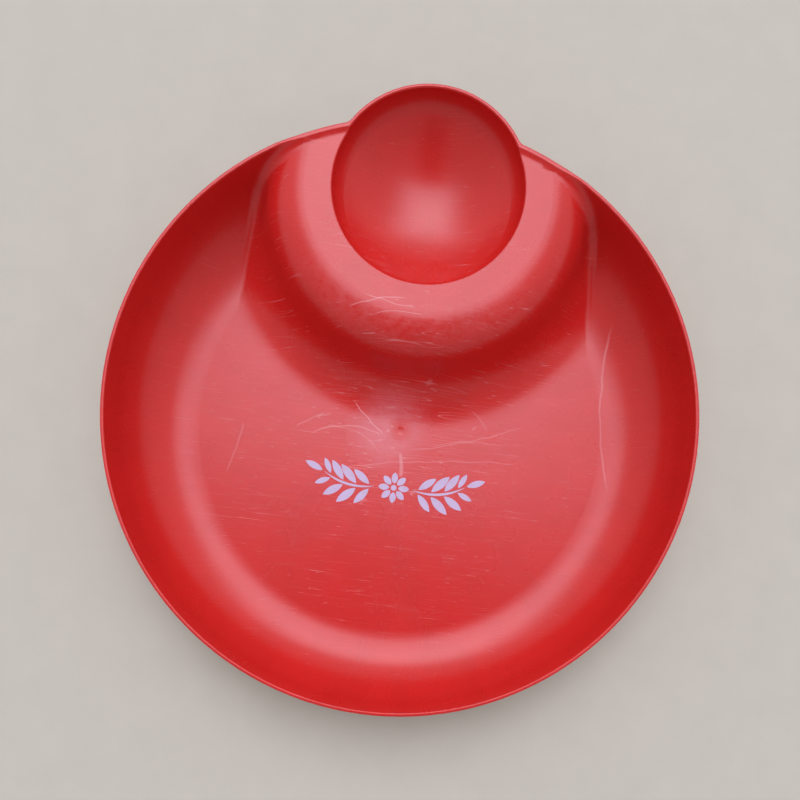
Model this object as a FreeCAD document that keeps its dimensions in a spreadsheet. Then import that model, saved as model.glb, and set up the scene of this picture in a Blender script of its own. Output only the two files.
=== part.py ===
import FreeCAD, Part
import Sketcher
import math
import os

# Moulded serving tray: a round bowl with a dip cup at its edge, a raised mound
# that wraps round the cup, and a printed motif on the flat floor.
# +Z is up, +Y points from the bowl towards the cup, the origin is the middle of
# the footprint on the surface that the tray stands on. Millimetres and degrees.

sizes_table = [
    ("bowl_diameter", 355.6, "outside of the bowl's rim"),
    ("rim_height", 50.0, "rim above the table"),
    ("wall", 2.4, "moulded wall thickness"),
    ("foot_height", 3.0, "foot ring below the floor"),
    ("bend_radius", 40.0, "inside bend from floor to bowl wall"),
    ("wall_lean", 12.0, "bowl wall's lean from upright"),
    ("cup_radius", 57.5, "inside of the cup's mouth"),
    ("cup_overhang", 20.1, "cup's rim past the bowl's rim"),
    ("cup_lift", 11.2, "cup's underside above the floor's underside"),
    ("cup_bottom_angle", 42.0, "half angle of the cup's shallow bottom arc"),
    ("mound_drop", 1.5, "mound's top below the rim"),
    ("mound_land", 16.5, "flat shoulder round the cup's mouth"),
    ("crown_radius", 28.5, "mound's rounded shoulder"),
    ("mound_lean", 28.0, "mound side's lean from upright"),
    ("spread_radius", 37.0, "mound's hollow foot"),
    ("spread_bite", 0.2, "mound's foot below the floor, so that it crosses cleanly"),
    ("valley_radius", 6.0, "fillet where the mound meets floor and wall"),
    ("root_radius", 2.5, "fillet outside the cup, against the mound and the bowl's rim"),
    ("rim_round", 0.9, "rounding of the rim's two edges"),
    ("mouth_round", 1.0, "rounding of the cup's edge on the mound"),
    ("foot_ring_inset", 13.5, "middle of the bowl's foot ring inside the flat floor's edge"),
    ("ring_width", 2.4, "width of the foot ring"),
    ("ring_end_gap", 12.0, "end of the bowl's foot ring from the mound's foot"),
    ("gate_radius", 3.5, "dimple of the moulding gate in the floor"),
    ("gate_depth", 0.4, "depth of that dimple"),
    ("headroom", 10.0, "cutting shape above the rim"),
    ("ink_thickness", 0.12, "printed ink"),
    ("motif_offset", 38.0, "motif's centre from the bowl's centre"),
    ("sprig_start", 12.5, "start of each stem from the motif's centre"),
    ("sprig_reach", 35.0, "length of each stem along X"),
    ("sprig_rise", 6.0, "end of each stem above its start"),
    ("stem_width", 1.6, "width of each stem at its middle"),
    ("stem_bow", 4.0, "how far each stem bows down"),
    ("leaf_length", 16.0, "longest leaf"),
    ("leaf_width", 5.4, "widest leaf"),
    ("leaf_angle", 44.0, "leaves from their stem"),
    ("leaf_gap", 0.8, "bare plastic between stem and leaf"),
    ("petal_start", 2.9, "inner end of each petal from the flower's centre"),
    ("petal_length", 7.4, "petals of the middle flower"),
    ("petal_width", 4.2, "petals of the middle flower"),
    ("eye_radius", 1.9, "middle dot of the flower"),
]

doc = FreeCAD.newDocument("serving_tray")
sheet = doc.addObject("Spreadsheet::Sheet", "Sizes")
for row, (alias, number, note) in enumerate(sizes_table, start=1):
    sheet.set(f"A{row}", note)
    sheet.set(f"B{row}", str(number))
    sheet.setAlias(f"B{row}", alias)
doc.recompute()


def size(alias):
    return float(sheet.get(alias))


# Formulas that several features share, written in the sheet's names.
cup_offset = "(Sizes.bowl_diameter / 2 + Sizes.cup_overhang - Sizes.cup_radius - Sizes.wall)"
floor_top = "(Sizes.foot_height + Sizes.wall)"
mound_top = "(Sizes.rim_height - Sizes.mound_drop)"
rim_thickness = "(Sizes.wall / cos(Sizes.wall_lean))"
cutter_top = "(Sizes.rim_height + Sizes.headroom)"
body_shift = "-Sizes.cup_overhang / 2"
floor_flat = ("(Sizes.bowl_diameter / 2 - (Sizes.bend_radius + Sizes.wall) * cos(Sizes.wall_lean)"
              " - (Sizes.rim_height - Sizes.foot_height - (Sizes.bend_radius + Sizes.wall)"
              " * (1 - sin(Sizes.wall_lean))) * tan(Sizes.wall_lean))")
mound_curves = "(Sizes.crown_radius + Sizes.spread_radius)"
mound_reach = ("(Sizes.cup_radius + Sizes.mound_land"
               f" + {mound_curves} * cos(Sizes.mound_lean)"
               f" + ({mound_top} - {floor_top} + Sizes.spread_bite"
               f" - {mound_curves} * (1 - sin(Sizes.mound_lean))) * tan(Sizes.mound_lean))")
foot_ring = f"({floor_flat} - Sizes.foot_ring_inset)"
leaf_pairs = 4
petal_count = 8
first_leaf = 0.45  # place of the first pair, as a share of the pairs' spacing
largest_leaf_at = 0.4  # share of the stem where the leaves are longest
leaf_shrink = 1.5  # how fast they get shorter away from there
first_turn = -10  # degrees that the leaves at the stem's start lean back
turn_along = 34  # degrees that they turn over the stem's length
end_leaf = 0.8  # last leaf, as a share of the longest
edge_pieces = 6  # an edge is tested at the joints of this many equal pieces
seam_tolerance = 0.005
level_tolerance = 0.001

cup_y = size("bowl_diameter") / 2 + size("cup_overhang") - size("cup_radius") - size("wall")
floor_z = size("foot_height") + size("wall")
rim_z = size("rim_height")
mound_z = rim_z - size("mound_drop")


# Sketching

def origin_item(body, role):
    return next(item for item in body.Origin.OriginFeatures if item.Role == role)


def new_body(name, label):
    body = doc.addObject("PartDesign::Body", name)
    body.Label = label
    return body


def new_sketch(body, name, role="YZ_Plane"):
    sketch = body.newObject("Sketcher::SketchObject", name)
    sketch.AttachmentSupport = [(origin_item(body, role), "")]
    sketch.MapMode = "FlatFace"
    return sketch


def point(x, y):
    return FreeCAD.Vector(x, y, 0)


def add_line(sketch, start, end, construction=False):
    return sketch.addGeometry(Part.LineSegment(point(*start), point(*end)), construction)


def add_arc(sketch, centre, radius, start_angle, end_angle):
    circle = Part.Circle(point(*centre), FreeCAD.Vector(0, 0, 1), radius)
    return sketch.addGeometry(Part.ArcOfCircle(circle, start_angle, end_angle), False)


def hold(sketch, *rules):
    for rule in rules:
        sketch.addConstraint(Sketcher.Constraint(*rule))


def bind(sketch, name, expression, *rule):
    index = sketch.addConstraint(Sketcher.Constraint(*rule))
    sketch.renameConstraint(index, name)
    sketch.setExpression(f"Constraints.{name}", expression)


def revolve(body, kind, name, sketch, axis):
    feature = body.newObject(f"PartDesign::{kind}", name)
    feature.Profile = sketch
    feature.ReferenceAxis = (sketch, [axis])
    feature.Angle = 360.0
    doc.recompute()
    return feature


# Points of a sketch element: 1 its start, 2 its end, 3 its centre.
# Element -1 is the sketch's X axis and its point 1 the origin, -2 is the Y axis.

def bowl_profile(body, name, floor, bend, rim, top):
    """Half section of the bowl: floor, bend, leaning wall, level top."""
    sketch = new_sketch(body, name)
    (floor_text, floor_at), (bend_text, bend_at) = floor, bend
    (rim_text, rim_at), (top_text, top_at) = rim, top
    lean = math.radians(size("wall_lean"))
    bend_end_x = rim_at - (top_at - floor_at - bend_at * (1 - math.sin(lean))) * math.tan(lean)
    flat = bend_end_x - bend_at * math.cos(lean)
    bend_end = (bend_end_x, floor_at + bend_at * (1 - math.sin(lean)))
    ground = add_line(sketch, (0, floor_at), (flat, floor_at))
    curve = add_arc(sketch, (flat, floor_at + bend_at), bend_at, -math.pi / 2, -lean)
    side = add_line(sketch, bend_end, (rim_at, top_at))
    lid = add_line(sketch, (rim_at, top_at), (0, top_at))
    spine = add_line(sketch, (0, top_at), (0, floor_at))
    hold(sketch,
         ("Tangent", ground, 2, curve, 1), ("Tangent", curve, 2, side, 1),
         ("Coincident", side, 2, lid, 1), ("Coincident", lid, 2, spine, 1),
         ("Coincident", spine, 2, ground, 1), ("Horizontal", ground), ("Horizontal", lid),
         ("PointOnObject", spine, 1, -2), ("PointOnObject", spine, 2, -2))
    bind(sketch, "floor_level", floor_text, "DistanceY", -1, 1, ground, 1, floor_at)
    bind(sketch, "bend", bend_text, "Radius", curve, bend_at)
    bind(sketch, "lean", "90 - Sizes.wall_lean", "Angle", side, math.pi / 2 - lean)
    bind(sketch, "rim_radius", rim_text, "DistanceX", -1, 1, side, 2, rim_at)
    bind(sketch, "top_level", top_text, "DistanceY", -1, 1, side, 2, top_at)
    return sketch


def mound_profile(body, name, top, crown, spread, foot, base):
    """Half section of the mound: flat top, crown, leaning side, hollow foot."""
    sketch = new_sketch(body, name)
    (top_text, top_at), (crown_text, crown_at) = top, crown
    (spread_text, spread_at), (foot_text, foot_at) = spread, foot
    lean = math.radians(size("mound_lean"))
    flat = cup_y + size("cup_radius") + size("mound_land")
    side_top = (flat + crown_at * math.cos(lean), top_at - crown_at * (1 - math.sin(lean)))
    side_end_z = foot_at + spread_at * (1 - math.sin(lean))
    side_end = (side_top[0] + (side_top[1] - side_end_z) * math.tan(lean), side_end_z)
    reach = side_end[0] + spread_at * math.cos(lean)
    axis = add_line(sketch, (cup_y, foot_at), (cup_y, top_at), construction=True)
    land = add_line(sketch, (cup_y, top_at), (flat, top_at))
    shoulder = add_arc(sketch, (flat, top_at - crown_at), crown_at, lean, math.pi / 2)
    side = add_line(sketch, side_top, side_end)
    hollow = add_arc(sketch, (reach, foot_at + spread_at), spread_at,
                     math.pi + lean, 1.5 * math.pi)
    drop = add_line(sketch, (reach, foot_at), (reach, base))
    under = add_line(sketch, (reach, base), (cup_y, base))
    spine = add_line(sketch, (cup_y, base), (cup_y, top_at))
    hold(sketch,
         ("Vertical", axis), ("Horizontal", land), ("Vertical", drop), ("Horizontal", under),
         ("Vertical", spine), ("Tangent", land, 2, shoulder, 2),
         ("Tangent", shoulder, 1, side, 1), ("Tangent", side, 2, hollow, 1),
         ("Coincident", hollow, 2, drop, 1), ("Vertical", hollow, 2, hollow, 3),
         ("Coincident", drop, 2, under, 1), ("Coincident", under, 2, spine, 1),
         ("Coincident", spine, 2, land, 1), ("Coincident", axis, 2, land, 1),
         ("DistanceY", axis, 1, axis, 2, top_at - foot_at),
         ("DistanceY", -1, 1, under, 1, base))
    bind(sketch, "axis_offset", cup_offset, "DistanceX", -1, 1, land, 1, cup_y)
    bind(sketch, "top_level", top_text, "DistanceY", -1, 1, land, 1, top_at)
    bind(sketch, "flat_width", "Sizes.cup_radius + Sizes.mound_land",
         "DistanceX", land, 1, land, 2, flat - cup_y)
    bind(sketch, "crown", crown_text, "Radius", shoulder, crown_at)
    bind(sketch, "spread", spread_text, "Radius", hollow, spread_at)
    bind(sketch, "foot_level", foot_text, "DistanceY", -1, 1, hollow, 2, foot_at)
    bind(sketch, "lean", "Sizes.mound_lean - 90", "Angle", side, lean - math.pi / 2)
    return sketch


def cup_profile(body, name, mouth, depth, top):
    """Half section of the cup: shallow bottom arc, side arc upright at the rim."""
    sketch = new_sketch(body, name)
    (mouth_text, mouth_at), (depth_text, depth_at), (top_text, top_at) = mouth, depth, top
    angle = math.radians(size("cup_bottom_angle"))
    ease = math.tan(angle / 2)
    side_at = (depth_at - mouth_at * ease) / (math.cos(angle) - ease * (1 - math.sin(angle)))
    base_at = (mouth_at - side_at * (1 - math.sin(angle))) / math.sin(angle)
    bottom = rim_z - depth_at
    axis = add_line(sketch, (cup_y, bottom), (cup_y, rim_z), construction=True)
    base = add_arc(sketch, (cup_y, bottom + base_at), base_at,
                   1.5 * math.pi, 1.5 * math.pi + angle)
    side = add_arc(sketch, (cup_y + mouth_at - side_at, rim_z), side_at,
                   1.5 * math.pi + angle, 2 * math.pi)
    edge = side
    if top_at > rim_z:
        edge = add_line(sketch, (cup_y + mouth_at, rim_z), (cup_y + mouth_at, top_at))
        hold(sketch, ("Tangent", side, 2, edge, 1))
        bind(sketch, "top_level", top_text, "DistanceY", -1, 1, edge, 2, top_at)
    lid = add_line(sketch, (cup_y + mouth_at, top_at), (cup_y, top_at))
    spine = add_line(sketch, (cup_y, top_at), (cup_y, bottom))
    ease_text = "tan(Sizes.cup_bottom_angle / 2)"
    side_text = (f"(({depth_text}) - ({mouth_text}) * {ease_text}) / "
                 f"(cos(Sizes.cup_bottom_angle) - {ease_text} * (1 - sin(Sizes.cup_bottom_angle)))")
    hold(sketch,
         ("Vertical", axis), ("Coincident", axis, 1, base, 1), ("Tangent", base, 2, side, 1),
         ("PointOnObject", base, 3, axis), ("Horizontal", lid), ("Vertical", spine),
         ("Coincident", edge, 2, lid, 1), ("Coincident", lid, 2, spine, 1),
         ("Coincident", spine, 2, base, 1), ("DistanceY", axis, 1, axis, 2, rim_z - bottom))
    bind(sketch, "axis_offset", cup_offset, "DistanceX", -1, 1, axis, 1, cup_y)
    bind(sketch, "rim_level", "Sizes.rim_height", "DistanceY", -1, 1, side, 3, rim_z)
    bind(sketch, "rim_end", "Sizes.rim_height", "DistanceY", -1, 1, side, 2, rim_z)
    bind(sketch, "bottom_level", f"Sizes.rim_height - ({depth_text})",
         "DistanceY", -1, 1, base, 1, bottom)
    bind(sketch, "side_bend", side_text, "Radius", side, side_at)
    bind(sketch, "mouth", mouth_text, "DistanceX", axis, 1, side, 2, mouth_at)
    return sketch


def ring_profile(body, name, axis, middle, bottom, top):
    """Upright section of the foot ring, on the side of its axis away from the cup."""
    sketch = new_sketch(body, name)
    (axis_text, axis_at), (middle_text, middle_at), (top_text, top_at) = axis, middle, top
    outer = axis_at - middle_at - size("ring_width") / 2
    inner = axis_at - middle_at + size("ring_width") / 2
    turning = add_line(sketch, (axis_at, bottom), (axis_at, top_at), construction=True)
    under = add_line(sketch, (outer, bottom), (inner, bottom))
    inside = add_line(sketch, (inner, bottom), (inner, top_at))
    over = add_line(sketch, (inner, top_at), (outer, top_at))
    outside = add_line(sketch, (outer, top_at), (outer, bottom))
    hold(sketch,
         ("Vertical", turning), ("Horizontal", under), ("Vertical", inside),
         ("Horizontal", over), ("Vertical", outside), ("Coincident", under, 2, inside, 1),
         ("Coincident", inside, 2, over, 1), ("Coincident", over, 2, outside, 1),
         ("Coincident", outside, 2, under, 1), ("PointOnObject", under, 1, -1),
         ("PointOnObject", turning, 1, -1), ("DistanceY", turning, 1, turning, 2, top_at - bottom))
    bind(sketch, "axis_offset", axis_text, "DistanceX", -1, 1, turning, 1, axis_at)
    bind(sketch, "ring_middle", f"{middle_text} - Sizes.ring_width / 2",
         "DistanceX", inside, 1, turning, 1, middle_at - size("ring_width") / 2)
    bind(sketch, "width", "Sizes.ring_width", "DistanceX", under, 1, under, 2, size("ring_width"))
    bind(sketch, "top_level", top_text, "DistanceY", under, 2, inside, 2, top_at - bottom)
    return sketch


# Edges

def samples(edge):
    first, last = edge.ParameterRange
    return [edge.valueAt(first + (last - first) * step / edge_pieces)
            for step in range(1, edge_pieces)]


def touches(spot, shape):
    return Part.Vertex(spot).distToShape(shape)[0] < seam_tolerance


def seam_edges(feature, axis_y, wanted=lambda spot: True):
    """Names of the edges where a turned feature meets the surface before it."""
    profile = feature.Profile[0].Shape
    before = Part.Compound(feature.BaseFeature.Shape.Faces)

    def on_seam(spot):
        in_plane = FreeCAD.Vector(0, axis_y + math.hypot(spot.x, spot.y - axis_y), spot.z)
        return wanted(spot) and touches(in_plane, profile) and touches(spot, before)

    return [f"Edge{number}" for number, edge in enumerate(feature.Shape.Edges, start=1)
            if all(on_seam(spot) for spot in samples(edge))]


def edges_at(feature, wanted):
    return [f"Edge{number}" for number, edge in enumerate(feature.Shape.Edges, start=1)
            if all(wanted(spot) for spot in samples(edge))]


def round_edges(body, name, base, edges, radius_text):
    fillet = body.newObject("PartDesign::Fillet", name)
    fillet.Base = (base, edges)
    fillet.setExpression("Radius", radius_text)
    doc.recompute()
    return fillet


def dimple_profile(body, name):
    """Half section of the gate's dimple: an arc below the floor, closed just above it."""
    sketch = new_sketch(body, name)
    radius, depth = size("gate_radius"), size("gate_depth")
    bend = (radius ** 2 + depth ** 2) / (2 * depth)
    half = math.asin(radius / bend)
    bottom = add_arc(sketch, (0, floor_z - depth + bend), bend, 1.5 * math.pi, 1.5 * math.pi + half)
    side = add_line(sketch, (radius, floor_z), (radius, floor_z + depth))
    lid = add_line(sketch, (radius, floor_z + depth), (0, floor_z + depth))
    spine = add_line(sketch, (0, floor_z + depth), (0, floor_z - depth))
    hold(sketch,
         ("Coincident", bottom, 2, side, 1), ("Coincident", side, 2, lid, 1),
         ("Coincident", lid, 2, spine, 1), ("Coincident", spine, 2, bottom, 1),
         ("Vertical", side), ("Horizontal", lid), ("PointOnObject", spine, 1, -2),
         ("PointOnObject", spine, 2, -2), ("PointOnObject", bottom, 3, -2))
    bind(sketch, "width", "Sizes.gate_radius", "DistanceX", -1, 1, side, 1, radius)
    bind(sketch, "floor_level", floor_top, "DistanceY", -1, 1, side, 1, floor_z)
    bind(sketch, "bottom_level", f"{floor_top} - Sizes.gate_depth",
         "DistanceY", -1, 1, bottom, 1, floor_z - depth)
    bind(sketch, "lid_level", f"{floor_top} + Sizes.gate_depth",
         "DistanceY", -1, 1, side, 2, floor_z + depth)
    return sketch


# The air over the tray

def make_cavity():
    """Everything that the moulding's upper side leaves open: bowl, less mound, and cup."""
    body = new_body("Cavity", "cavity")
    top = (cutter_top, rim_z + size("headroom"))
    lean = math.radians(size("wall_lean"))
    rim_inside = size("bowl_diameter") / 2 - size("wall") / math.cos(lean)
    rim_text = f"Sizes.bowl_diameter / 2 - {rim_thickness} + Sizes.headroom * tan(Sizes.wall_lean)"
    sketch = bowl_profile(body, "BowlInside", (floor_top, floor_z),
                          ("Sizes.bend_radius", size("bend_radius")),
                          (rim_text, rim_inside + size("headroom") * math.tan(lean)), top)
    revolve(body, "Revolution", "BowlAir", sketch, "V_Axis")
    sketch = mound_profile(body, "MoundOutside", (mound_top, mound_z),
                           ("Sizes.crown_radius", size("crown_radius")),
                           ("Sizes.spread_radius", size("spread_radius")),
                           (f"{floor_top} - Sizes.spread_bite", floor_z - size("spread_bite")),
                           -size("headroom"))
    mound = revolve(body, "Groove", "Mound", sketch, "Axis0")
    round_edges(body, "Valley", mound, seam_edges(mound, cup_y), "Sizes.valley_radius")
    sketch = cup_profile(body, "CupInside", ("Sizes.cup_radius", size("cup_radius")),
                         ("Sizes.rim_height - Sizes.foot_height - Sizes.cup_lift - Sizes.wall",
                          rim_z - floor_z - size("cup_lift")), top)
    cup = revolve(body, "Revolution", "CupAir", sketch, "Axis0")
    round_edges(body, "Mouth", cup, seam_edges(cup, cup_y), "Sizes.mouth_round")
    revolve(body, "Revolution", "Gate", dimple_profile(body, "GateDimple"), "V_Axis")
    return body


# The moulding

def flat_floor_radius():
    lean = math.radians(size("wall_lean"))
    bend = size("bend_radius") + size("wall")
    straight = rim_z - size("foot_height") - bend * (1 - math.sin(lean))
    return size("bowl_diameter") / 2 - bend * math.cos(lean) - straight * math.tan(lean)


def add_foot_ring(body):
    """Ring under the bowl's floor, open where the mound is."""
    ring_top = ("Sizes.foot_height + Sizes.wall / 2", size("foot_height") + size("wall") / 2)
    middle = flat_floor_radius() - size("foot_ring_inset")
    sketch = ring_profile(body, "BowlRingSection", ("0", 0.0), (foot_ring, middle), 0.0, ring_top)
    ring = revolve(body, "Revolution", "BowlFootRing", sketch, "Axis0")
    ring.Midplane = True
    meeting = (f"acos(({foot_ring}^2 + {cup_offset}^2 - {mound_reach}^2)"
               f" / (2 * {foot_ring} * {cup_offset}))")
    end_gap = f"Sizes.ring_end_gap / {foot_ring} * 180 / pi * 1 deg"
    ring.setExpression("Angle", f"360 deg - 2 * ({meeting} + {end_gap})")


def make_shell(cavity):
    body = new_body("TrayShell", "tray_shell")
    wall = size("wall")
    sketch = bowl_profile(body, "BowlOutside", ("Sizes.foot_height", size("foot_height")),
                          ("Sizes.bend_radius + Sizes.wall", size("bend_radius") + wall),
                          ("Sizes.bowl_diameter / 2", size("bowl_diameter") / 2),
                          ("Sizes.rim_height", rim_z))
    revolve(body, "Revolution", "BowlBlank", sketch, "V_Axis")
    sketch = mound_profile(body, "MoundInside", (f"{mound_top} - Sizes.wall", mound_z - wall),
                           ("Sizes.crown_radius - Sizes.wall", size("crown_radius") - wall),
                           ("Sizes.spread_radius + Sizes.wall", size("spread_radius") + wall),
                           ("Sizes.foot_height - Sizes.spread_bite",
                            size("foot_height") - size("spread_bite")), -size("headroom"))
    hollow = revolve(body, "Groove", "MoundHollow", sketch, "Axis0")
    round_edges(body, "ValleyUnderside", hollow, seam_edges(hollow, cup_y),
                "Sizes.valley_radius + Sizes.wall")
    sketch = cup_profile(body, "CupOutside",
                         ("Sizes.cup_radius + Sizes.wall", size("cup_radius") + wall),
                         ("Sizes.rim_height - Sizes.foot_height - Sizes.cup_lift",
                          rim_z - size("foot_height") - size("cup_lift")),
                         ("Sizes.rim_height", rim_z))
    cup = revolve(body, "Revolution", "CupBlank", sketch, "Axis0")
    under_rim = rim_z - level_tolerance
    root = seam_edges(cup, cup_y, lambda spot: spot.z < under_rim)
    round_edges(body, "CupRoot", cup, root, "Sizes.root_radius")
    add_foot_ring(body)
    moulding = body.newObject("PartDesign::Boolean", "HollowOut")
    moulding.Type = "Cut"
    moulding.setObjects([cavity])
    doc.recompute()
    rim = edges_at(moulding, lambda spot: abs(spot.z - rim_z) < level_tolerance)
    round_edges(body, "RimRound", moulding, rim, "Sizes.rim_round")
    return body


# The print

def pin(sketch, name, first, second, across, up):
    """Dimension from one point to another, along X and along Y."""
    for rule, way, (text, at) in (("DistanceX", "across", across), ("DistanceY", "up", up)):
        if at >= 0:
            bind(sketch, f"{name}_{way}", text, rule, *first, *second, at)
        else:
            bind(sketch, f"{name}_{way}", f"-({text})", rule, *second, *first, -at)


def add_bow(sketch, start, end, sag):
    """Arc between two points that bows by sag to the right of its run."""
    run = math.hypot(end[0] - start[0], end[1] - start[1])
    radius = (run * run / 4 + sag * sag) / (2 * sag)
    across, up = (end[0] - start[0]) / run, (end[1] - start[1]) / run
    middle = ((start[0] + end[0]) / 2, (start[1] + end[1]) / 2)
    centre = (middle[0] - up * (radius - sag), middle[1] + across * (radius - sag))
    first = math.atan2(start[1] - centre[1], start[0] - centre[0])
    last = math.atan2(end[1] - centre[1], end[0] - centre[0])
    return add_arc(sketch, centre, radius, first, last if last > first else last + 2 * math.pi)


def add_leaf(sketch, name, base, run, width):
    """Pointed leaf of two equal arcs: base (x, y), run (x, y) and width as text and number."""
    (_, base_x), (_, base_y) = base
    (run_x_text, run_x), (run_y_text, run_y) = run
    width_text, width_at = width
    tip = (base_x + run_x, base_y + run_y)
    near = add_bow(sketch, (base_x, base_y), tip, width_at / 2)
    far = add_bow(sketch, tip, (base_x, base_y), width_at / 2)
    hold(sketch, ("Coincident", near, 2, far, 1), ("Coincident", far, 2, near, 1),
         ("Equal", near, far))
    pin(sketch, f"{name}_base", (-1, 1), (near, 1), base[0], base[1])
    pin(sketch, f"{name}_run", (near, 1), (near, 2), run[0], run[1])
    length_text = f"(({run_x_text})^2 + ({run_y_text})^2)"
    radius = (run_x ** 2 + run_y ** 2 + width_at ** 2) / (4 * width_at)
    bind(sketch, f"{name}_bow", f"({length_text} + ({width_text})^2) / (4 * ({width_text}))",
         "Radius", near, radius)


def add_stem(sketch, start, run, width):
    """Crescent between two points, thickest at its middle, bowing down."""
    (start_x_text, start_x), (_, start_y) = start
    end = (start_x + run[0][1], start_y + run[1][1])
    run_text = f"(({run[0][0]})^2 + ({run[1][0]})^2) / 4"
    arcs = []
    for word, part in (("lower", "+"), ("upper", "-")):
        sag = size("stem_bow") + (width / 2 if part == "+" else -width / 2)
        sag_text = f"(Sizes.stem_bow {part} Sizes.stem_width / 2)"
        arc = add_bow(sketch, (start_x, start_y), end, sag)
        radius = ((run[0][1] ** 2 + run[1][1] ** 2) / 4 + sag ** 2) / (2 * sag)
        bind(sketch, f"stem_{word}", f"({run_text} + {sag_text}^2) / (2 * {sag_text})",
             "Radius", arc, radius)
        arcs.append(arc)
    hold(sketch, ("Coincident", arcs[0], 1, arcs[1], 1), ("Coincident", arcs[0], 2, arcs[1], 2))
    hold(sketch, ("PointOnObject", arcs[0], 1, -1))
    bind(sketch, "stem_start", start_x_text, "DistanceX", -1, 1, arcs[0], 1, start_x)
    pin(sketch, "stem_run", (arcs[0], 1), (arcs[0], 2), run[0], run[1])


def pad(body, name, sketch):
    feature = body.newObject("PartDesign::Pad", name)
    feature.Profile = sketch
    feature.setExpression("Length", "Sizes.ink_thickness")
    doc.recompute()
    return feature


def place_print(body):
    body.setExpression("Placement.Base.y", f"{body_shift} - Sizes.motif_offset")
    body.setExpression("Placement.Base.z", floor_top)


def make_sprigs():
    """Right sprig of leaves along a bowed stem, and its mirror image."""
    body = new_body("PrintedSprigs", "printed_sprigs")
    body.AllowCompound = True
    sketch = new_sketch(body, "SprigOutline", "XY_Plane")
    reach, rise, bow = size("sprig_reach"), size("sprig_rise"), size("stem_bow")
    for count in range(leaf_pairs):
        share = round((count + first_leaf) / leaf_pairs, 3)
        scale = round(1.0 - leaf_shrink * (share - largest_leaf_at) ** 2, 3)
        turn = round(first_turn + turn_along * share, 2)
        stem_y = rise * share - 4 * bow * share * (1 - share)
        stem_text = (f"Sizes.sprig_rise * {share}"
                     f" - 4 * Sizes.stem_bow * {share} * {round(1 - share, 3)}")
        across = (f"Sizes.sprig_start + Sizes.sprig_reach * {share}",
                  size("sprig_start") + reach * share)
        for side, word in ((1, "upper"), (-1, "lower")):
            angle = math.radians(side * size("leaf_angle") + turn)
            angle_text = f"({side} * Sizes.leaf_angle + {turn})"
            length = size("leaf_length") * scale
            clear = size("leaf_gap") + size("stem_width") / 2
            base_y = (f"{stem_text} + {side} * (Sizes.leaf_gap + Sizes.stem_width / 2)",
                      stem_y + side * clear)
            run = ((f"Sizes.leaf_length * {scale} * cos({angle_text})", length * math.cos(angle)),
                   (f"Sizes.leaf_length * {scale} * sin({angle_text})", length * math.sin(angle)))
            add_leaf(sketch, f"{word}{count}", (across, base_y), run,
                     (f"Sizes.leaf_width * {scale}", size("leaf_width") * scale))
    add_stem(sketch, (("Sizes.sprig_start", size("sprig_start")), ("0", 0.0)),
             (("Sizes.sprig_reach", reach), ("Sizes.sprig_rise", rise)), size("stem_width"))
    length = size("leaf_length") * end_leaf
    angle = math.radians(size("leaf_angle") / 2)
    length_text = f"Sizes.leaf_length * {end_leaf}"
    add_leaf(sketch, "end",
             (("Sizes.sprig_start + Sizes.sprig_reach + Sizes.leaf_gap",
               size("sprig_start") + reach + size("leaf_gap")),
              ("Sizes.sprig_rise + Sizes.leaf_gap / 2", rise + size("leaf_gap") / 2)),
             ((f"{length_text} * cos(Sizes.leaf_angle / 2)", length * math.cos(angle)),
              (f"{length_text} * sin(Sizes.leaf_angle / 2)", length * math.sin(angle))),
             (f"Sizes.leaf_width * {end_leaf}", size("leaf_width") * end_leaf))
    sprig = pad(body, "Sprig", sketch)
    pair = body.newObject("PartDesign::Mirrored", "BothSprigs")
    pair.Originals = [sprig]
    pair.MirrorPlane = (origin_item(body, "YZ_Plane"), [""])
    body.Tip = pair
    place_print(body)
    return body


def make_flower():
    """Ring of petals round a dot."""
    body = new_body("PrintedFlower", "printed_flower")
    body.AllowCompound = True
    sketch = new_sketch(body, "EyeOutline", "XY_Plane")
    circle = Part.Circle(point(0, 0), FreeCAD.Vector(0, 0, 1), size("eye_radius"))
    eye = sketch.addGeometry(circle, False)
    hold(sketch, ("Coincident", eye, 3, -1, 1))
    bind(sketch, "eye", "Sizes.eye_radius", "Radius", eye, size("eye_radius"))
    pad(body, "Eye", sketch)
    sketch = new_sketch(body, "PetalOutline", "XY_Plane")
    start, length = size("petal_start"), size("petal_length")
    near = add_bow(sketch, (start, 0), (start + length, 0), size("petal_width") / 2)
    far = add_bow(sketch, (start + length, 0), (start, 0), size("petal_width") / 2)
    hold(sketch, ("Coincident", near, 2, far, 1), ("Coincident", far, 2, near, 1),
         ("Equal", near, far), ("PointOnObject", near, 1, -1), ("PointOnObject", near, 2, -1))
    bind(sketch, "start", "Sizes.petal_start", "DistanceX", -1, 1, near, 1, start)
    bind(sketch, "length", "Sizes.petal_length", "DistanceX", near, 1, near, 2, length)
    bind(sketch, "bow", "(Sizes.petal_length^2 + Sizes.petal_width^2) / (4 * Sizes.petal_width)",
         "Radius", near, (length ** 2 + size("petal_width") ** 2) / (4 * size("petal_width")))
    petal = pad(body, "Petal", sketch)
    ring = body.newObject("PartDesign::PolarPattern", "Petals")
    ring.Originals = [petal]
    ring.Axis = (origin_item(body, "Z_Axis"), [""])
    ring.Angle = 360
    ring.Occurrences = petal_count
    body.Tip = ring
    place_print(body)
    return body


# Build, check, write

cavity = make_cavity()
shell = make_shell(cavity)
shell.setExpression("Placement.Base.y", body_shift)
pieces = [shell, make_sprigs(), make_flower()]
doc.recompute()

for item in doc.Objects:
    if "Invalid" in item.State or "Error" in item.State:
        raise RuntimeError(f"{item.Name} failed: {item.State}")
for piece in pieces:
    shape = piece.Shape
    if shape.isNull() or not shape.isValid() or not shape.Solids:
        raise RuntimeError(f"{piece.Label} has no valid solid")

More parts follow.
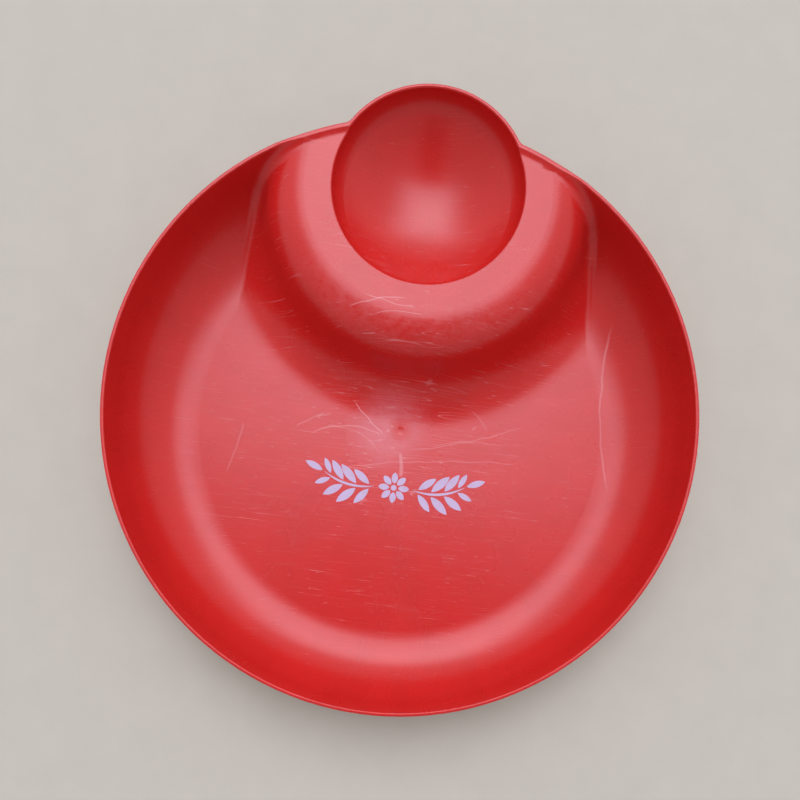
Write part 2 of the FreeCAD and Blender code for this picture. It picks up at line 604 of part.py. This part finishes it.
os.makedirs("parts", exist_ok=True)
for piece in pieces:
    piece.Shape.exportStep(os.path.join("parts", f"{piece.Label}.step"))
    print(piece.Label, len(piece.Shape.Solids), "solids", round(piece.Shape.Volume / 1000, 3), "cm3")
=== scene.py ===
import math

import bmesh
import bpy
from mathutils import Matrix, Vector
from mathutils.interpolate import poly_3d_calc


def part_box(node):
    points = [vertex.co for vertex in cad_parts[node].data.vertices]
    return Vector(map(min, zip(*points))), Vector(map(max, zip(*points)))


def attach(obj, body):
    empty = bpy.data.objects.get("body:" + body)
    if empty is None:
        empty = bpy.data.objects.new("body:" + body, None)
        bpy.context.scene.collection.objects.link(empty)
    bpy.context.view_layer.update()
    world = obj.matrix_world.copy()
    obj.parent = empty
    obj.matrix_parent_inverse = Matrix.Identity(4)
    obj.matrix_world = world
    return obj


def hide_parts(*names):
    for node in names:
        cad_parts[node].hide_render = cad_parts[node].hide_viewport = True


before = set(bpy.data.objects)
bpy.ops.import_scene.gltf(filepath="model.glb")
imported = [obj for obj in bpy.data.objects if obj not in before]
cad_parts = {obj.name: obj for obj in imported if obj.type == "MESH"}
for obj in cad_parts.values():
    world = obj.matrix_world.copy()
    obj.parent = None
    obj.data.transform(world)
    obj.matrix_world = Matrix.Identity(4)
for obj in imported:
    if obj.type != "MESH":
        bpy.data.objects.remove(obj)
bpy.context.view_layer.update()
shellLow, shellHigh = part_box("tray_shell")
print("stage: frame loaded,", len(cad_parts), "pieces")

# Where the two round shapes of the tray stand, in metres
tray = {
    "bowlRadius": (shellHigh.x - shellLow.x) / 2,
    "cupOuterRadius": 0.0599,
    "floorHeight": 0.0054,
}
bowlCentre = Vector((0.0, shellLow.y + tray["bowlRadius"], 0.0))
cupCentre = Vector((0.0, shellHigh.y - tray["cupOuterRadius"], 0.0))


class Wire:
    # One output socket, so that shader maths reads as plain arithmetic
    def __init__(self, tree, socket):
        self.tree = tree
        self.socket = socket

    def run(self, operation, *values):
        made = self.tree.nodes.new("ShaderNodeMath")
        made.operation = operation
        for socket, value in zip(made.inputs, values):
            feed(self.tree, socket, value)
        return Wire(self.tree, made.outputs[0])

    def __add__(self, other):
        return self.run("ADD", self, other)

    def __radd__(self, other):
        return self.run("ADD", other, self)

    def __sub__(self, other):
        return self.run("SUBTRACT", self, other)

    def __rsub__(self, other):
        return self.run("SUBTRACT", other, self)

    def __mul__(self, other):
        return self.run("MULTIPLY", self, other)

    def __rmul__(self, other):
        return self.run("MULTIPLY", other, self)

    def __truediv__(self, other):
        return self.run("DIVIDE", self, other)

    def __rtruediv__(self, other):
        return self.run("DIVIDE", other, self)

    def __pow__(self, other):
        return self.run("POWER", self, other)

    def __rpow__(self, other):
        return self.run("POWER", other, self)

    def size(self):
        return self.run("ABSOLUTE", self)

    # 0 below low, 1 above high and a smooth step between
    def step(self, low, high):
        return addNode(
            self.tree,
            "ShaderNodeMapRange",
            {"interpolation_type": "SMOOTHSTEP"},
            {"Value": self, "From Min": low, "From Max": high},
        )

    # The part of a vector along X, Y or Z
    def part(self, axis):
        made = self.tree.nodes.new("ShaderNodeSeparateXYZ")
        feed(self.tree, made.inputs[0], self)
        return Wire(self.tree, made.outputs[axis])

    # Vector Math: its value output holds lengths and dot products
    def vector(self, operation, other=None, scale=None):
        made = self.tree.nodes.new("ShaderNodeVectorMath")
        made.operation = operation
        feed(self.tree, made.inputs[0], self)
        if other is not None:
            feed(self.tree, made.inputs[1], other)
        if scale is not None:
            feed(self.tree, made.inputs["Scale"], scale)
        wanted = "Value" if operation in ("LENGTH", "DISTANCE", "DOT_PRODUCT") else "Vector"
        return Wire(self.tree, made.outputs[wanted])


def feed(tree, socket, value):
    if isinstance(value, Wire):
        tree.links.new(value.socket, socket)
    else:
        socket.default_value = value


def addNode(tree, kind, settings=None, sockets=None, output=0):
    made = tree.nodes.new(kind)
    for name, value in (settings or {}).items():
        setattr(made, name, value)
    for name, value in (sockets or {}).items():
        feed(tree, made.inputs[name], value)
    return Wire(tree, made.outputs[output])


# The Mix node's colour sockets, which share their names with its number and vector sockets
mixSockets = {"share": 0, "low": 6, "high": 7, "result": 2}


def mixColours(tree, share, low, high):
    made = tree.nodes.new("ShaderNodeMix")
    made.data_type = "RGBA"
    feed(tree, made.inputs[mixSockets["share"]], share)
    feed(tree, made.inputs[mixSockets["low"]], low)
    feed(tree, made.inputs[mixSockets["high"]], high)
    return Wire(tree, made.outputs[mixSockets["result"]])


def noise(tree, place, scale, detail=2.0, roughness=0.5):
    sockets = {"Vector": place, "Scale": scale, "Detail": detail, "Roughness": roughness}
    return addNode(tree, "ShaderNodeTexNoise", None, sockets)


# A fresh material whose shader takes its constants by socket name
def newMaterial(name, constants):
    material = bpy.data.materials.new(name)
    material.use_nodes = True
    tree = material.node_tree
    tree.nodes.clear()
    shader = tree.nodes.new("ShaderNodeBsdfPrincipled")
    output = tree.nodes.new("ShaderNodeOutputMaterial")
    tree.links.new(shader.outputs[0], output.inputs[0])
    for key, value in constants.items():
        shader.inputs[key].default_value = value
    return material, tree, shader


# How scratches break off and wander: gaps are in stretched units, the wander is in metres
scratchLook = {
    "gapScale": 1.7,
    "gapDetail": 3.0,
    "gapRoughness": 0.7,
    "gapSoftness": 0.08,
    "wanderScale": 60.0,
    "wander": 0.004,
    "core": 0.2,
    "endStart": 0.36,
    "endStop": 0.50,
}


# Thin broken lines that run along one heading, 0 to 1
def scratchLines(tree, place, lines):
    seed = lines["seed"]
    sockets = {
        "Vector": place,
        "Location": (seed, 2.3 * seed, 0.0),
        "Rotation": (0.0, 0.0, lines["heading"]),
        "Scale": (lines["along"], lines["across"], 1.0),
    }
    turned = addNode(tree, "ShaderNodeMapping", None, sockets)
    field = noise(tree, turned, 1.0, 0.0)
    line = 1.0 - (field - 0.5).size().step(0.0, lines["width"])
    look = scratchLook
    gaps = noise(tree, turned, look["gapScale"], look["gapDetail"], look["gapRoughness"])
    return line * gaps.step(lines["keep"], lines["keep"] + look["gapSoftness"])


# One long scratch from start to end that bows sideways, 0 to 1; every length is in metres
def scratchMark(tree, place, mark):
    start, end = Vector(mark["start"]), Vector(mark["end"])
    length = (end - start).length
    along = (end - start) / length
    side = Vector((-along.y, along.x))
    fromStart = place.vector("SUBTRACT", (start.x, start.y, 0.0))
    travelled = fromStart.vector("DOT_PRODUCT", (along.x, along.y, 0.0)) / length
    offset = fromStart.vector("DOT_PRODUCT", (side.x, side.y, 0.0))

    # A parabola that is bow metres deep halfway along
    bowed = offset - travelled * (1.0 - travelled) * (4.0 * mark["bow"])
    look = scratchLook
    wander = (noise(tree, place, look["wanderScale"], 1.0) - 0.5) * look["wander"]
    line = 1.0 - (bowed + wander).size().step(look["core"] * mark["width"], mark["width"])
    ends = 1.0 - (travelled - 0.5).size().step(look["endStart"], look["endStop"])
    return line * ends * mark["strength"]


# The mound's hollow foot runs out onto the floor without a visible seam; lengths are in metres
footLook = {
    "hollowRadius": 0.0370,
    "reach": 0.13638,
    "bite": 0.0002,
    "before": 0.011,
    "after": 0.006,
    "longestEdge": 0.0016,
    "rounds": 9,
    "cutHeight": 0.004,
    "margin": 0.001,
    "tolerance": 0.00005,
    "upright": 0.5,
}


# Height above the floor and downhill slope of the softened foot, by distance from the cup's axis
def footCurve(look, distance):
    before, span = look["before"], look["before"] + look["after"]
    depth = math.sqrt(look["hollowRadius"] ** 2 - before**2)
    startHeight = look["hollowRadius"] - depth - look["bite"]
    power = before / depth * span / startHeight
    left = (look["reach"] + look["after"] - distance) / span
    if not 0.0 < left < 1.0:
        return None
    return startHeight * left**power, startHeight * power / span * left ** (power - 1)


def makeShellPiece(look):
    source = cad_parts["tray_shell"]
    sourceMesh = source.data
    sourceNormals = [corner.vector.copy() for corner in sourceMesh.corner_normals]
    shape = bmesh.new()
    shape.from_mesh(sourceMesh)
    origin = shape.faces.layers.int.new("origin")
    for face in shape.faces:
        face[origin] = face.index
    floorHeight = tray["floorHeight"]
    lowestFloor = floorHeight - look["tolerance"]
    middle = look["reach"] + (look["after"] - look["before"]) / 2
    reach = (look["after"] + look["before"]) / 2 + look["margin"]

    def needsCut(edge):
        first, second = (corner.co for corner in edge.verts)
        length = (first - second).length
        lowest, highest = sorted((first.z, second.z))
        if length < look["longestEdge"] or lowest < lowestFloor:
            return False
        if highest > floorHeight + look["cutHeight"]:
            return False
        spot = (first + second) / 2 - cupCentre
        return abs(math.hypot(spot.x, spot.y) - middle) < reach + length / 2

    # Long edges near the foot are halved until the zone is finely meshed
    for _ in range(look["rounds"]):
        edges = [edge for edge in shape.edges if needsCut(edge)]
        if not edges:
            break
        bmesh.ops.subdivide_edges(shape, edges=edges, cuts=1)
        wide = [face for face in shape.faces if len(face.verts) > 3]
        bmesh.ops.triangulate(shape, faces=wide)

    shape.normal_update()
    shape.verts.ensure_lookup_table()
    shape.faces.ensure_lookup_table()
    normalsNow, lifted = [], {}
    for face in shape.faces:
        polygon = sourceMesh.polygons[face[origin]]
        corners = [sourceMesh.vertices[index].co for index in polygon.vertices]
        normals = [sourceNormals[index] for index in polygon.loop_indices]
        for loop in face.loops:
            weights = poly_3d_calc(corners, loop.vert.co)
            blended = sum((normal * weight for normal, weight in zip(normals, weights)), Vector())
            normalsNow.append(blended.normalized())
    for vert in shape.verts:
        spot = vert.co - cupCentre
        distance = math.hypot(spot.x, spot.y)
        curve = footCurve(look, distance)
        if curve is None or vert.co.z < lowestFloor or vert.normal.z < look["upright"]:
            continue
        if vert.co.z <= floorHeight + curve[0]:
            lifted[vert.index] = (curve, spot / distance)
            vert.co.z = floorHeight + curve[0]
    place = 0
    for face in shape.faces:
        for loop in face.loops:
            if loop.vert.index in lifted and normalsNow[place].z > look["upright"]:
                (_, slope), outward = lifted[loop.vert.index]
                normalsNow[place] = Vector((outward.x * slope, outward.y * slope, 1.0)).normalized()
            place += 1

    mesh = bpy.data.meshes.new("shellMesh")
    shape.to_mesh(mesh)
    shape.free()
    mesh.polygons.foreach_set("use_smooth", [True] * len(mesh.polygons))
    mesh.normals_split_custom_set(normalsNow)
    mesh.attributes.remove(mesh.attributes["origin"])
    piece = bpy.data.objects.new("shell", mesh)
    bpy.context.scene.collection.objects.link(piece)
    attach(piece, "root")
    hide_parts("tray_shell")
    print("stage: shell piece", len(mesh.polygons), "faces,", len(lifted), "softened points")
    return piece


# Noises by scale, detail and roughness
shellNoise = {
    "flow": (2.2, 4.0, 0.6),
    "cloud": (14.0, 3.0, 0.55),
    "fine": (190.0, 5.0, 0.75),
    "grain": (900.0, 2.0, 0.5),
}

# Where wear and the painted sheen on the mound lie, in metres from the gate or from the cup's axis
wearAndSheenPlace = {
    "bloomMiddle": (-0.007, -0.003, 0.0),
    "bloomStart": 0.006,
    "bloomEnd": 0.034,
    "bloomWander": 0.02,
    "gateRadius": 0.002,
    "gateHalo": 0.011,
    "floorWornTo": (0.10, 0.15),
    "crossingWornTo": (0.03, 0.08),
    # The next three place painted sheen: a paler patch on the mound's top in front of the cup
    "paintedSheenStart": (0.062, 0.070),
    "paintedSheenEnd": (0.080, 0.100),
    "paintedSheenAhead": (0.040, 0.075),
    "rubMiddle": (-0.098, -0.032, 0.0),
    "rubShape": (1.6, 0.8, 1.0),
    "rubEdge": (0.010, 0.034),
}

shellLook = {
    "red": (0.55, 0.013, 0.011, 1.0),
    "deepRed": (0.45, 0.010, 0.008, 1.0),
    "blush": (0.66, 0.26, 0.30, 1.0),
    # Pale pink of the scratches, also used as painted sheen on the mound's top
    "scratchAndSheenPink": (0.72, 0.36, 0.38, 1.0),
    "roughness": 0.27,
    "flowStrength": 0.05,
    "grainBump": 0.03,
    "scratchBump": 0.10,
    "flowHeading": 0.8,
    "flowDistance": 11.0,
    "flowAmount": 0.5,
    "looksUp": (0.45, 0.75),
    "bloomBase": 0.10,
    "bloomSpeckle": 1.1,
    "blushAmount": 0.55,
    "rubAmount": 0.45,
    "scratchAmount": 0.72,
    # How much painted sheen the mound's top in front of the cup gets
    "paintedSheenAmount": 0.14,
    "hairlines": 0.15,
    "floorHairlines": 0.35,
    "crossingHairlines": 0.5,
    "cloudRoughness": 0.06,
    "scratchRoughness": 0.12,
    "paintedSheenRoughness": 0.15,
    "bloomRoughness": 0.10,
    "grainHeight": 0.25,
    "cloudHeight": 0.5,
    "bumpDistance": 0.002,
}

# Fine hairlines by heading in radians, with how many lie across and along a metre
hairlines = [
    {"heading": 0.15, "across": 520.0, "along": 16.0, "width": 0.012, "keep": 0.50, "seed": 3.0},
    {"heading": 0.9, "across": 430.0, "along": 12.0, "width": 0.010, "keep": 0.55, "seed": 11.0},
    {"heading": -0.7, "across": 470.0, "along": 14.0, "width": 0.010, "keep": 0.56, "seed": 23.0},
]
crossingLines = {
    "heading": 0.05,
    "across": 300.0,
    "along": 20.0,
    "width": 0.016,
    "keep": 0.42,
    "seed": 31.0,
}

# The longest scratches, measured from the gate in the middle of the floor
marks = [
    {"start": (-0.033, 0.016), "end": (-0.010, -0.005), "bow": 0.0, "width": 0.0004, "strength": 0.9},
    {"start": (-0.060, -0.009), "end": (-0.009, -0.006), "bow": 0.007, "width": 0.0007, "strength": 0.45},
    {"start": (-0.050, -0.002), "end": (-0.012, -0.016), "bow": 0.005, "width": 0.0005, "strength": 0.35},
    {"start": (-0.070, -0.006), "end": (-0.046, 0.006), "bow": 0.002, "width": 0.0008, "strength": 0.30},
    {"start": (-0.037, -0.029), "end": (0.078, -0.013), "bow": 0.003, "width": 0.0005, "strength": 0.35},
    {"start": (0.004, -0.012), "end": (0.082, 0.013), "bow": -0.003, "width": 0.0005, "strength": 0.40},
    {"start": (0.020, -0.008), "end": (0.070, -0.002), "bow": 0.003, "width": 0.0004, "strength": 0.30},
    {"start": (0.045, 0.019), "end": (0.058, 0.007), "bow": 0.001, "width": 0.0005, "strength": 0.35},
    {"start": (0.002, -0.014), "end": (0.004, -0.031), "bow": 0.0, "width": 0.0018, "strength": 0.50},
    {"start": (-0.104, -0.005), "end": (-0.112, -0.042), "bow": 0.001, "width": 0.0010, "strength": 0.18},
    {"start": (0.130, 0.087), "end": (0.143, -0.026), "bow": -0.006, "width": 0.0009, "strength": 0.40},
    {"start": (-0.040, 0.062), "end": (-0.004, 0.071), "bow": 0.002, "width": 0.0005, "strength": 0.55},
    {"start": (-0.031, 0.071), "end": (0.002, 0.066), "bow": -0.001, "width": 0.0004, "strength": 0.50},
    {"start": (-0.024, 0.060), "end": (0.006, 0.062), "bow": 0.002, "width": 0.0004, "strength": 0.45},
]


def makeShellMaterial(look):
    material, tree, shader = newMaterial("redPlastic", {"IOR": 1.49, "Specular IOR Level": 0.5})
    place = addNode(tree, "ShaderNodeTexCoord", None, None, "Object")
    flat = (1.0, 1.0, 0.0)
    fromBowl = place.vector("SUBTRACT", tuple(bowlCentre)).vector("MULTIPLY", flat)
    fromCup = place.vector("SUBTRACT", tuple(cupCentre)).vector("MULTIPLY", flat)
    bowlDistance = fromBowl.vector("LENGTH")
    cupDistance = fromCup.vector("LENGTH")

    # Flow marks fan out from the gate: the noise is read by heading more than by distance
    heading = fromBowl.vector("NORMALIZE").vector("SCALE", None, look["flowHeading"])
    fan = heading.vector("ADD", fromBowl.vector("SCALE", None, look["flowDistance"]))
    flow = noise(tree, fan, *shellNoise["flow"])
    cloud = noise(tree, place, *shellNoise["cloud"])
    fine = noise(tree, place, *shellNoise["fine"])

    # Pale worn bloom round the gate, which itself stays a darker red
    where = wearAndSheenPlace
    beside = fromBowl.vector("SUBTRACT", where["bloomMiddle"]).vector("LENGTH")
    beside = beside + (cloud - 0.5) * where["bloomWander"]
    bloom = 1.0 - beside.step(where["bloomStart"], where["bloomEnd"])
    speckle = look["bloomBase"] + fine * look["bloomSpeckle"]
    bloom = bloom * speckle * bowlDistance.step(where["gateRadius"], where["gateHalo"])

    # Wear, and the painted sheen on the mound, show only where the surface looks up
    normal = addNode(tree, "ShaderNodeNewGeometry", None, None, "Normal")
    facing = normal.part(2).step(*look["looksUp"])
    bloom = bloom * facing

    # Hairlines and long scratches over the floor, and painted sheen on the mound in front of the cup: a
    # paler, rougher speckled patch where that flat top reflects the ceiling panel
    floorArea = 1.0 - bowlDistance.step(*where["floorWornTo"])
    lines = 0.0
    for group in hairlines:
        lines = lines + scratchLines(tree, place, group)
    crossing = scratchLines(tree, place, crossingLines)
    nearMiddle = 1.0 - bowlDistance.step(*where["crossingWornTo"])
    scratches = lines * (look["hairlines"] + look["floorHairlines"] * floorArea)
    scratches = scratches + crossing * nearMiddle * look["crossingHairlines"]
    for mark in marks:
        scratches = scratches + scratchMark(tree, fromBowl, mark)
    scratches = scratches.run("MINIMUM", scratches, 1.0) * facing
    land = cupDistance.step(*where["paintedSheenStart"]) * (1.0 - cupDistance.step(*where["paintedSheenEnd"]))
    ahead = (fromCup.part(1) * -1.0).step(*where["paintedSheenAhead"])
    paintedSheen = land * ahead * facing * fine.step(0.30, 0.85)

    # A rubbed darker patch on the left of the floor
    rubPlace = fromBowl.vector("SUBTRACT", where["rubMiddle"]).vector("MULTIPLY", where["rubShape"])
    rub = 1.0 - rubPlace.vector("LENGTH").step(*where["rubEdge"])
    rub = rub * fine.step(0.45, 0.65) * facing

    streaks = flow.step(0.25, 0.8) * look["flowAmount"]
    base = mixColours(tree, streaks, look["red"], look["deepRed"])
    base = mixColours(tree, bloom * look["blushAmount"], base, look["blush"])
    base = mixColours(tree, rub * look["rubAmount"], base, look["deepRed"])
    # Scratches turn pale pink, and so does the painted sheen patch on the mound
    scratchesAndSheen = scratches * look["scratchAmount"] + paintedSheen * look["paintedSheenAmount"]
    base = mixColours(tree, scratchesAndSheen, base, look["scratchAndSheenPink"])
    feed(tree, shader.inputs["Base Color"], base)

    rough = look["roughness"] + (flow - 0.5) * look["flowStrength"]
    rough = rough + (cloud - 0.5) * look["cloudRoughness"]
    rough = rough + scratches * look["scratchRoughness"]
    rough = rough + paintedSheen * look["paintedSheenRoughness"] + bloom * look["bloomRoughness"]
    feed(tree, shader.inputs["Roughness"], rough)

    grain = noise(tree, place, *shellNoise["grain"])
    height = grain * look["grainHeight"] + cloud * look["cloudHeight"]
    height = height - scratches * look["scratchBump"]
    bumpSockets = {
        "Strength": look["grainBump"],
        "Distance": look["bumpDistance"],
        "Height": height,
    }
    bump = addNode(tree, "ShaderNodeBump", None, bumpSockets)
    feed(tree, shader.inputs["Normal"], bump)
    return material


# Pale ink of the printed motif
inkLook = {
    "ink": (0.50, 0.40, 0.58, 1.0),
    "thinInk": (0.42, 0.18, 0.23, 1.0),
    "roughness": 0.55,
    "wear": 0.30,
    "pinholes": 0.35,
    "bump": 0.05,
    "bumpDistance": 0.0005,
    "mottleRoughness": 0.2,
    "mottleNoise": (120.0, 4.0, 0.65),
    "pinholeNoise": (900.0, 2.0, 0.6),
    "pinholeEdge": (0.60, 0.72),
    "wearEdge": (0.45, 0.80),
}


def makeInkMaterial(look):
    material, tree, shader = newMaterial("printInk", {"IOR": 1.45, "Specular IOR Level": 0.4})
    place = addNode(tree, "ShaderNodeTexCoord", None, None, "Object")
    mottle = noise(tree, place, *look["mottleNoise"])
    pinholes = noise(tree, place, *look["pinholeNoise"]).step(*look["pinholeEdge"])
    thin = mottle.step(*look["wearEdge"]) * look["wear"] + pinholes * look["pinholes"]
    base = mixColours(tree, thin.run("MINIMUM", thin, 1.0), look["ink"], look["thinInk"])
    feed(tree, shader.inputs["Base Color"], base)
    rough = look["roughness"] + (mottle - 0.5) * look["mottleRoughness"]
    feed(tree, shader.inputs["Roughness"], rough)
    bumpSockets = {"Strength": look["bump"], "Distance": look["bumpDistance"], "Height": mottle}
    bump = addNode(tree, "ShaderNodeBump", None, bumpSockets)
    feed(tree, shader.inputs["Normal"], bump)
    return material


shellMaterial = makeShellMaterial(shellLook)
inkMaterial = makeInkMaterial(inkLook)
shellPiece = makeShellPiece(footLook)
shellPiece.data.materials.clear()
shellPiece.data.materials.append(shellMaterial)
for nodeName in ("printed_sprigs", "printed_flower"):
    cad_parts[nodeName].data.materials[0] = inkMaterial
print("stage: materials ready")

# Plain pale floor under the tray
stageLook = {
    "halfWidth": 3.0,
    "pale": (0.45, 0.42, 0.355, 1.0),
    "paler": (0.50, 0.465, 0.395, 1.0),
    "mottleNoise": (40.0, 4.0, 0.6),
}


def makeFloor(look):
    mesh = bpy.data.meshes.new("floorMesh")
    shape = bmesh.new()
    corners = [(-1, -1), (1, -1), (1, 1), (-1, 1)]
    reach = look["halfWidth"]
    shape.faces.new([shape.verts.new((x * reach, y * reach, 0.0)) for x, y in corners])
    shape.to_mesh(mesh)
    shape.free()
    floor = bpy.data.objects.new("floor", mesh)
    bpy.context.scene.collection.objects.link(floor)
    material, tree, shader = newMaterial("palePaper", {"Roughness": 0.85})
    place = addNode(tree, "ShaderNodeTexCoord", None, None, "Object")
    base = mixColours(tree, noise(tree, place, *look["mottleNoise"]), look["pale"], look["paler"])
    feed(tree, shader.inputs["Base Color"], base)
    mesh.materials.append(material)


# Edges of the panel and the gap are parts of a unit heading: X is across and Y is along
skyLook = {
    "horizon": (0.55, 0.55, 0.56, 1.0),
    "nearCeiling": (0.55, 0.55, 0.56, 1.0),
    "farCeiling": (0.90, 0.90, 0.94, 1.0),
    "panel": (3.9, 3.95, 4.5, 1.0),
    "panelMiddle": -0.02,
    "panelHalfWidth": 0.36,
    "panelNearEdge": 0.08,
    "panelFarEdge": 0.77,
    "panelSoftness": 0.07,
    "panelSideSoftness": 0.18,
    "gap": (0.12, 0.11, 0.11, 1.0),
    "gapHalfWidth": 0.18,
    "gapFarEdge": 0.055,
    "gapSoftness": 0.03,
    "ceilingBlend": (-0.5, 0.4),
    "wallBlend": (-0.05, 0.50),
    "panelHeight": (0.05, 0.25),
    "gapHeight": (0.60, 0.80),
}


# A plain room with a bright ceiling panel beyond the cup and a dim gap above the bowl
def makeSky(look):
    world = bpy.data.worlds.new("softRoom")
    bpy.context.scene.world = world
    world.use_nodes = True
    tree = world.node_tree
    tree.nodes.clear()
    heading = addNode(tree, "ShaderNodeTexCoord", None, None, "Generated").vector("NORMALIZE")
    across, along, above = (heading.part(axis) for axis in range(3))

    def inside(value, middle, half, soft):
        return 1.0 - (value - middle).size().step(half - soft, half + soft)

    ceilingShare = along.step(*look["ceilingBlend"])
    ceiling = mixColours(tree, ceilingShare, look["nearCeiling"], look["farCeiling"])
    room = mixColours(tree, above.step(*look["wallBlend"]), look["horizon"], ceiling)
    middle = (look["panelNearEdge"] + look["panelFarEdge"]) / 2
    half = (look["panelFarEdge"] - look["panelNearEdge"]) / 2
    soft = look["panelSoftness"]
    panel = inside(across, look["panelMiddle"], look["panelHalfWidth"], look["panelSideSoftness"])
    panel = panel * inside(along, middle, half, soft) * above.step(*look["panelHeight"])
    lit = mixColours(tree, panel, room, look["panel"])
    farEdge, soft = look["gapFarEdge"], look["gapSoftness"]
    gap = inside(across, 0.0, look["gapHalfWidth"], soft)
    gap = gap * (1.0 - along.step(farEdge - soft, farEdge + soft))
    gap = gap * above.step(*look["gapHeight"])
    colour = mixColours(tree, gap, lit, look["gap"])
    background = tree.nodes.new("ShaderNodeBackground")
    feed(tree, background.inputs["Color"], colour)
    output = tree.nodes.new("ShaderNodeOutputWorld")
    tree.links.new(background.outputs[0], output.inputs[0])


# One soft lamp beyond the cup
lampLook = {
    "place": (-0.10, 0.85, 1.30),
    "aim": (0.0, 0.0, 0.0),
    "width": 0.7,
    "power": 1.3,
    "colour": (1.0, 0.99, 0.97),
}


def makeLamp(name, look):
    light = bpy.data.lights.new(name, "AREA")
    light.shape = "DISK"
    light.size = look["width"]
    light.energy = look["power"]
    light.color = look["colour"]
    lamp = bpy.data.objects.new(name, light)
    bpy.context.scene.collection.objects.link(lamp)
    lamp.location = look["place"]
    toward = Vector(look["aim"]) - Vector(look["place"])
    lamp.rotation_mode = "QUATERNION"
    lamp.rotation_quaternion = toward.to_track_quat("-Z", "Y")


makeFloor(stageLook)
makeSky(skyLook)
makeLamp("softLamp", lampLook)
print("stage: floor and lights ready")

# The camera looks almost straight down; angles are in degrees
cameraLook = {
    "place": (0.0036, -0.0823, 0.406),
    "roll": 6.76,
    "tiltX": -0.42,
    "tiltY": -0.67,
    "lens": 27.06,
    "shiftY": 0.18,
}


def makeCamera(look):
    camera = bpy.data.objects.new("camera", bpy.data.cameras.new("camera"))
    bpy.context.scene.collection.objects.link(camera)
    camera.data.lens = look["lens"]
    camera.data.sensor_width = 36.0
    camera.data.shift_y = look["shiftY"]
    camera.data.clip_start = 0.01
    camera.rotation_mode = "YXZ"
    angles = (look["tiltX"], look["tiltY"], look["roll"])
    camera.rotation_euler = [math.radians(angle) for angle in angles]
    camera.location = look["place"]
    bpy.context.scene.camera = camera


makeCamera(cameraLook)
bpy.context.scene.view_settings.view_transform = "Standard"
print("stage: camera ready")
